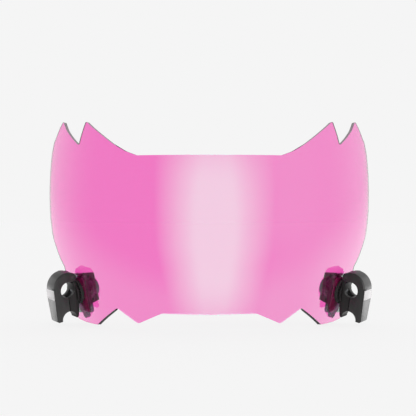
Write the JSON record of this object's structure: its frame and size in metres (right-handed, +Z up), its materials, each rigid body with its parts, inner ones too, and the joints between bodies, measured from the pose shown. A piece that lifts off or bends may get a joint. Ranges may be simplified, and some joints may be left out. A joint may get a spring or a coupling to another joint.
{
  "type": "football helmet visor",
  "caption": "Barrel-curved tinted face shield with zigzag top and bottom edges, held by hinged clips that turn on toothed rings and clamp round face-guard bars.",
  "frame": {"origin": "under the middle of the whole visor, on its lowest level", "axes": "+Z up, -Y forward out of the shield, +X to the right of the picture"},
  "size_m": [0.2296, 0.0912, 0.1405],
  "materials": {
    "shield_tint": "mirror-coated pink tinted polycarbonate",
    "clip_plastic": "fine moulded satin",
    "ring_plastic": "moulded",
    "pad_rubber": "matt",
    "steel": "satin",
    "brass": "turned"
  },
  "bodies": {
    "shield": {"shield": "shield_tint", "toothed_ring_left": "ring_plastic", "outer_pad_left": "pad_rubber", "inner_pad_left": "pad_rubber", "clamp_plate_left": "clip_plastic", "spring_washer_left": "steel", "toothed_ring_right": "ring_plastic", "outer_pad_right": "pad_rubber", "inner_pad_right": "pad_rubber", "clamp_plate_right": "clip_plastic", "spring_washer_right": "steel"},
    "clip_left": {"inner_jaw_left": "clip_plastic", "thread_insert_left": "brass"},
    "jaw_left": {"outer_jaw_left": "clip_plastic", "hinge_pin_left": "steel"},
    "knob_left": {"thumb_knob_left": "clip_plastic", "thumb_screw_left": "steel"},
    "clip_right": {"inner_jaw_right": "clip_plastic", "thread_insert_right": "brass"},
    "jaw_right": {"outer_jaw_right": "clip_plastic", "hinge_pin_right": "steel"},
    "knob_right": {"thumb_knob_right": "clip_plastic", "thumb_screw_right": "steel"}
  },
  "joints": [
    {"name": "clip_turn_left", "type": "hinge", "parent": "shield", "child": "clip_left", "pos_m": [-0.09155, 0.01064, 0.02247], "axis": [-0.8081, -0.5451, -0.2233], "range_deg": [-20, 20]},
    {"name": "jaw_hinge_left", "type": "hinge", "parent": "clip_left", "child": "jaw_left", "pos_m": [-0.09712, 0.00483, 0.03307], "axis": [-0.5795, 0.8036, 0.1357], "range_deg": [0, 75]},
    {"name": "thumb_screw_turn_left", "type": "hinge", "parent": "shield", "child": "knob_left", "pos_m": [-0.09155, 0.01064, 0.02247], "axis": [-0.8081, -0.5451, -0.2233], "continuous": true},
    {"name": "clip_turn_right", "type": "hinge", "parent": "shield", "child": "clip_right", "pos_m": [0.09155, 0.01064, 0.02247], "axis": [-0.8081, 0.5451, 0.2233], "range_deg": [-20, 20]},
    {"name": "jaw_hinge_right", "type": "hinge", "parent": "clip_right", "child": "jaw_right", "pos_m": [0.09712, 0.00483, 0.03307], "axis": [-0.5795, -0.8036, -0.1357], "range_deg": [0, 75]},
    {"name": "thumb_screw_turn_right", "type": "hinge", "parent": "shield", "child": "knob_right", "pos_m": [0.09155, 0.01064, 0.02247], "axis": [-0.8081, 0.5451, 0.2233], "continuous": true}
  ]
}
